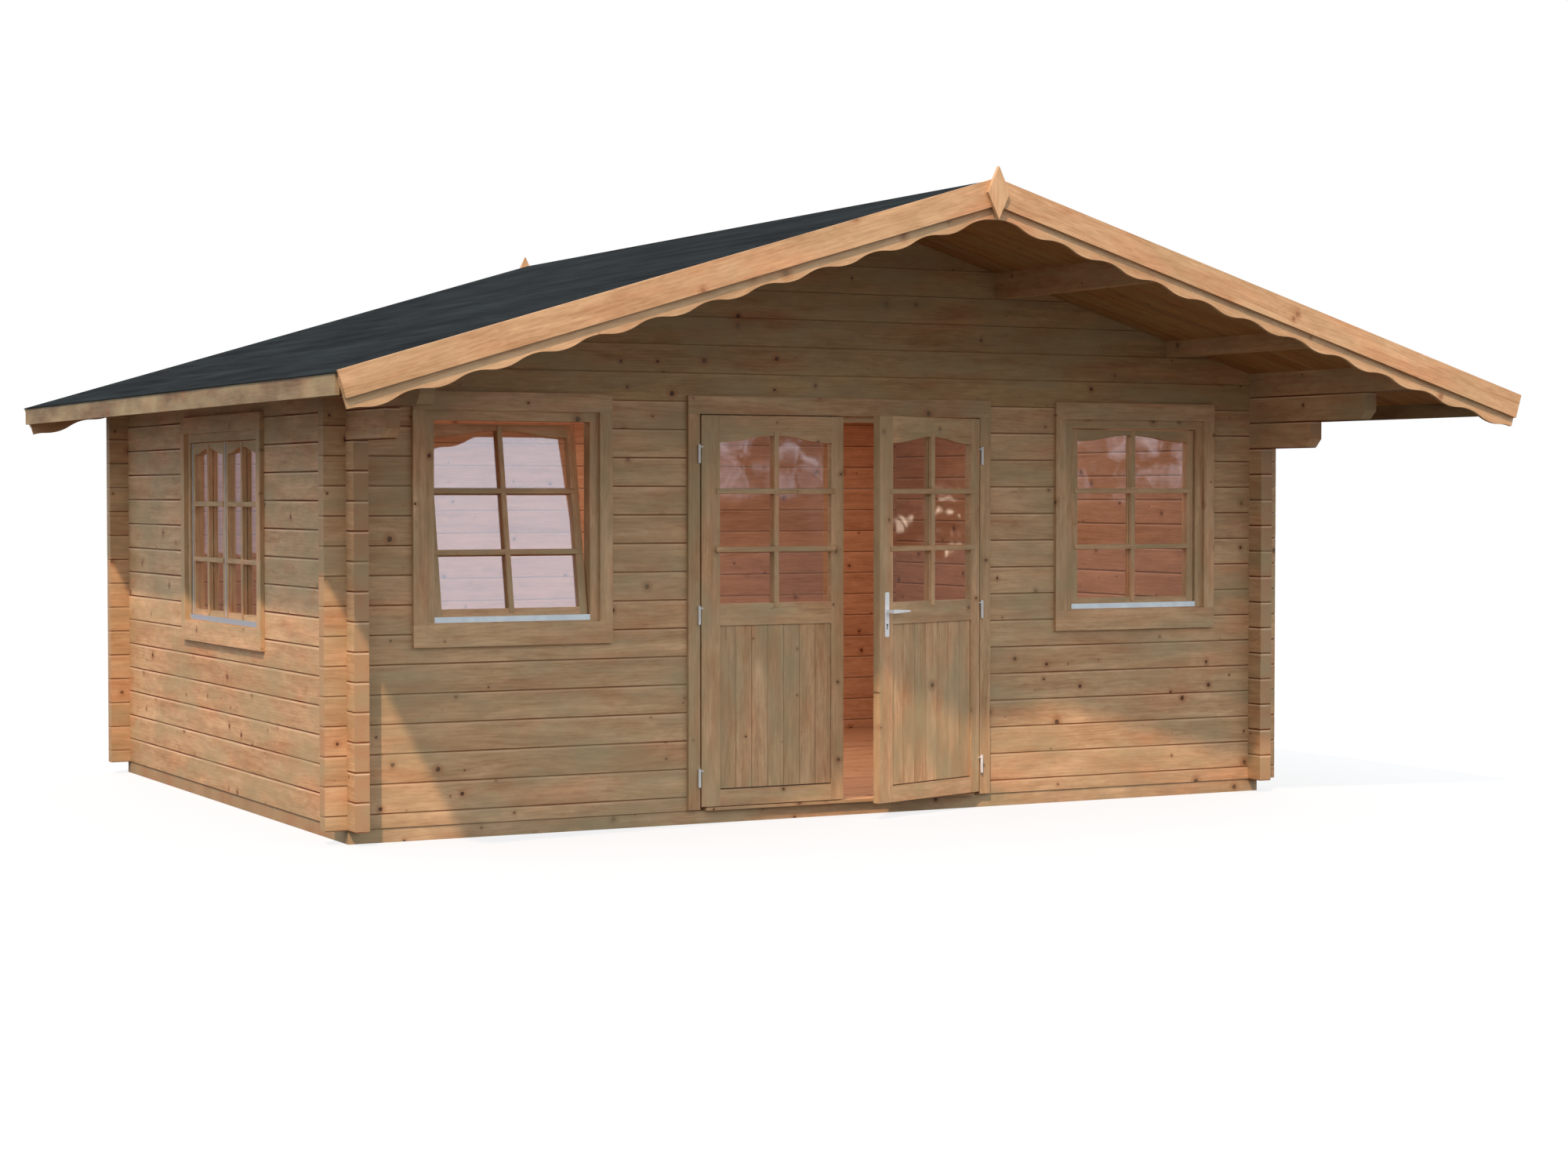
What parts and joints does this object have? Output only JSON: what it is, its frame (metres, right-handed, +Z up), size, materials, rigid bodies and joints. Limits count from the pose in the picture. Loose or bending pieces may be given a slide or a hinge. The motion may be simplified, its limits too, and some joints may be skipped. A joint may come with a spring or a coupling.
{
  "type": "log cabin",
  "caption": "Timber log cabin with crossed corner logs, a low gable roof with a deep front overhang, glazed double doors and mullioned windows.",
  "frame": {"origin": "centre of the log walls' footprint at ground level, on the underside of the middle floor bearer", "axes": "+Z up, front with the doors faces -Y, +X to the right seen from the front"},
  "size_m": [6.128, 5.4786, 3.0334],
  "materials": {
    "log_timber": "planed pine with a stain",
    "base_timber": "impregnated pine",
    "joinery_timber": "planed pine with a stain",
    "trim_timber": "planed pine with a stain",
    "roof_boards": "planed pine",
    "floor_boards": "planed pine",
    "roofing_felt": "mineral felt",
    "window_glass": "clear",
    "drip_metal": "satin",
    "hinge_steel": "zinc plated",
    "handle_steel": "satin"
  },
  "bodies": {
    "cabin": {"base_beams": "base_timber", "floor_bearers": "base_timber", "floor": "floor_boards", "front_wall_left": "log_timber", "front_wall_right": "log_timber", "front_gable": "log_timber", "back_wall": "log_timber", "back_gable": "log_timber", "left_wall": "log_timber", "right_wall": "log_timber", "purlins": "log_timber", "roof_boards_left": "roof_boards", "roof_boards_right": "roof_boards", "roof_felt_left": "roofing_felt", "roof_felt_right": "roofing_felt", "eave_fascias": "trim_timber", "front_barge_boards": "trim_timber", "back_barge_boards": "trim_timber", "front_scalloped_boards": "trim_timber", "back_scalloped_boards": "trim_timber", "finials": "trim_timber", "left_window_casing": "joinery_timber", "right_window_casing": "joinery_timber", "side_window_casing": "joinery_timber", "left_window_frame": "joinery_timber", "right_window_frame": "joinery_timber", "side_window_frame": "joinery_timber", "left_window_sash": "joinery_timber", "right_window_sash": "joinery_timber", "side_window_sashes": "joinery_timber", "left_window_glass": "window_glass", "right_window_glass": "window_glass", "side_window_glass": "window_glass", "window_drip_strips": "drip_metal", "door_frame": "joinery_timber", "door_casing": "joinery_timber", "door_threshold": "joinery_timber", "casing_hinge_halves": "hinge_steel"},
    "left_door": {"left_leaf": "joinery_timber", "left_leaf_glass": "window_glass", "left_leaf_hinges": "hinge_steel"},
    "right_door": {"right_leaf": "joinery_timber", "right_leaf_glass": "window_glass", "right_leaf_hinges": "hinge_steel", "door_handle": "handle_steel"}
  },
  "joints": [
    {"name": "left_door_hinge", "type": "hinge", "parent": "cabin", "child": "left_door", "pos_m": [-0.79, -1.935, 1], "axis": [0, 0, -1], "range_deg": [0, 160]},
    {"name": "right_door_hinge", "type": "hinge", "parent": "cabin", "child": "right_door", "pos_m": [0.79, -1.935, 1], "axis": [0, 0, 1], "range_deg": [-20, 140]}
  ]
}
